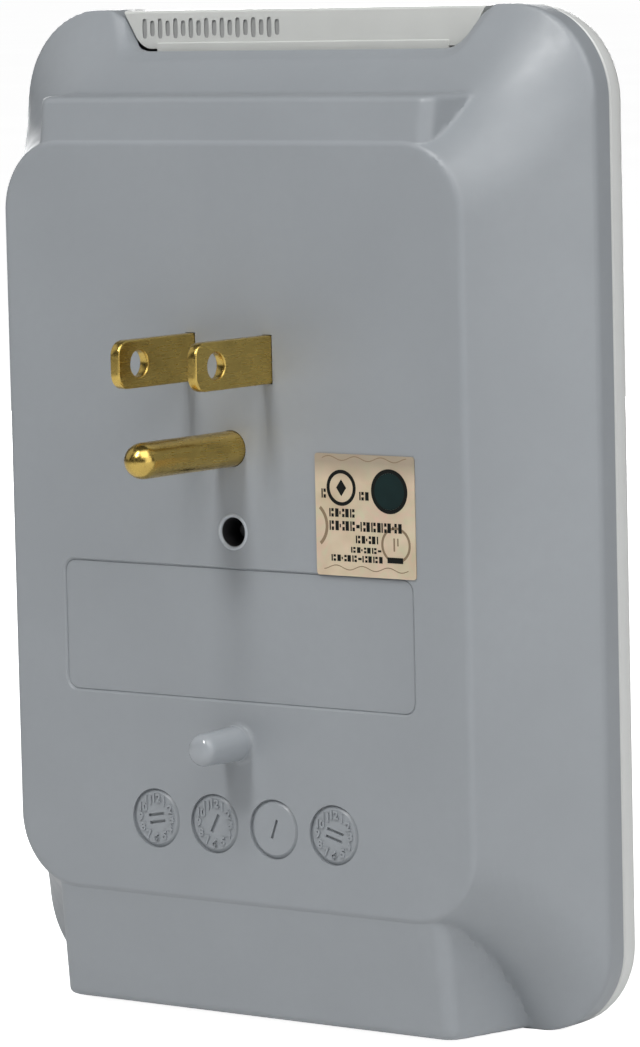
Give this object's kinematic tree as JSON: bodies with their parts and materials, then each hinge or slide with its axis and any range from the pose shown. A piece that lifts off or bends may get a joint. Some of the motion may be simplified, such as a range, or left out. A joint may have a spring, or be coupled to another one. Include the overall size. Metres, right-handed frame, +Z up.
{
  "type": "surge protector wall tap",
  "caption": "Plug-in surge protector wall tap with a grounded plug, locating peg, captive mounting screw and shuttered outlets on its front.",
  "frame": {"origin": "midway between the two blades, on the flat back that rests on the wall outlet", "axes": "+Y towards the wall, the way the plug points; +Z up; the outlets face -Y; +X to the right of someone facing the outlets"},
  "size_m": [0.0944, 0.0481, 0.134],
  "materials": {
    "grey_housing": "satin moulded grey ABS with a fine eroded texture",
    "white_housing": "smooth moulded white plastic",
    "frosted_bar": "frosted translucent polycarbonate",
    "foil_label": null,
    "plug_brass": "smooth bright brass",
    "strip_brass": "stamped spring brass",
    "steel": "zinc-plated steel",
    "white_nylon": "natural nylon",
    "black_plastic": "moulded black plastic",
    "shutter_grey": "moulded dark grey plastic",
    "board_green": "green solder mask on glass-fibre board",
    "varistor_blue": "dipped blue epoxy",
    "fuse_silver": "tinned metal case",
    "resistor_tan": "tan lacquer",
    "led_green": "clear green epoxy",
    "wire_black": "black PVC insulation",
    "wire_white": "white PVC insulation",
    "wire_green": "green PVC insulation",
    "wire_red": "red PVC insulation"
  },
  "bodies": {
    "housing": {"rear_housing": "grey_housing", "front_housing": "white_housing", "light_bar": "frosted_bar", "listing_label": "foil_label", "line_blade": "plug_brass", "neutral_blade": "plug_brass", "ground_pin": "plug_brass", "blade_holder": "black_plastic", "holder_screw_1": "steel", "holder_screw_2": "steel", "line_bus": "strip_brass", "neutral_bus": "strip_brass", "ground_bus": "strip_brass", "contact_carrier": "black_plastic", "carrier_screw_1": "steel", "carrier_screw_2": "steel", "carrier_screw_3": "steel", "carrier_screw_4": "steel", "surge_board": "board_green", "board_screw_1": "steel", "board_screw_2": "steel", "varistor_1": "varistor_blue", "varistor_2": "varistor_blue", "varistor_3": "varistor_blue", "thermal_fuse": "fuse_silver", "led_resistor": "resistor_tan", "led_diode": "black_plastic", "status_led": "led_green", "line_in_wire": "wire_black", "neutral_in_wire": "wire_white", "line_out_wire": "wire_black", "neutral_tap_wire": "wire_white", "ground_tap_wire": "wire_green", "led_wire_red": "wire_red", "led_wire_black": "wire_black", "retaining_ring": "white_nylon", "shutter_spring_1": "steel", "shutter_spring_2": "steel", "shutter_spring_3": "steel", "shutter_spring_4": "steel", "shutter_spring_5": "steel", "shutter_spring_6": "steel"},
    "screw_carriage": {"screw_washer": "steel"},
    "screw": {"mounting_screw": "steel"},
    "shutter_1": {"shutter_1": "shutter_grey"},
    "shutter_2": {"shutter_2": "shutter_grey"},
    "shutter_3": {"shutter_3": "shutter_grey"},
    "shutter_4": {"shutter_4": "shutter_grey"},
    "shutter_5": {"shutter_5": "shutter_grey"},
    "shutter_6": {"shutter_6": "shutter_grey"}
  },
  "joints": [
    {"name": "screw_advance", "type": "slide", "parent": "housing", "child": "screw_carriage", "axis": [0, 1, 0], "range_m": [0, 0.01]},
    {"name": "screw_turn", "type": "hinge", "parent": "screw_carriage", "child": "screw", "pos_m": [0, -0.0245, -0.0229], "axis": [0, 1, 0], "range_deg": [0, 4535]},
    {"name": "shutter_1_slide", "type": "slide", "parent": "housing", "child": "shutter_1", "axis": [-1, 0, 0], "range_m": [0, 0.0032], "stiffness_N_per_m": 20, "springref_m": -0.004, "deforming": ["shutter_spring_1"]},
    {"name": "shutter_2_slide", "type": "slide", "parent": "housing", "child": "shutter_2", "axis": [1, 0, 0], "range_m": [0, 0.0032], "stiffness_N_per_m": 20, "springref_m": -0.004, "deforming": ["shutter_spring_2"]},
    {"name": "shutter_3_slide", "type": "slide", "parent": "housing", "child": "shutter_3", "axis": [-1, 0, 0], "range_m": [0, 0.0032], "stiffness_N_per_m": 20, "springref_m": -0.004, "deforming": ["shutter_spring_3"]},
    {"name": "shutter_4_slide", "type": "slide", "parent": "housing", "child": "shutter_4", "axis": [1, 0, 0], "range_m": [0, 0.0032], "stiffness_N_per_m": 20, "springref_m": -0.004, "deforming": ["shutter_spring_4"]},
    {"name": "shutter_5_slide", "type": "slide", "parent": "housing", "child": "shutter_5", "axis": [-1, 0, 0], "range_m": [0, 0.0032], "stiffness_N_per_m": 20, "springref_m": -0.004, "deforming": ["shutter_spring_5"]},
    {"name": "shutter_6_slide", "type": "slide", "parent": "housing", "child": "shutter_6", "axis": [1, 0, 0], "range_m": [0, 0.0032], "stiffness_N_per_m": 20, "springref_m": -0.004, "deforming": ["shutter_spring_6"]}
  ],
  "couplings": [
    {"joint": "screw_turn", "follows": "screw_advance", "rad_per_m": 7913.3}
  ]
}
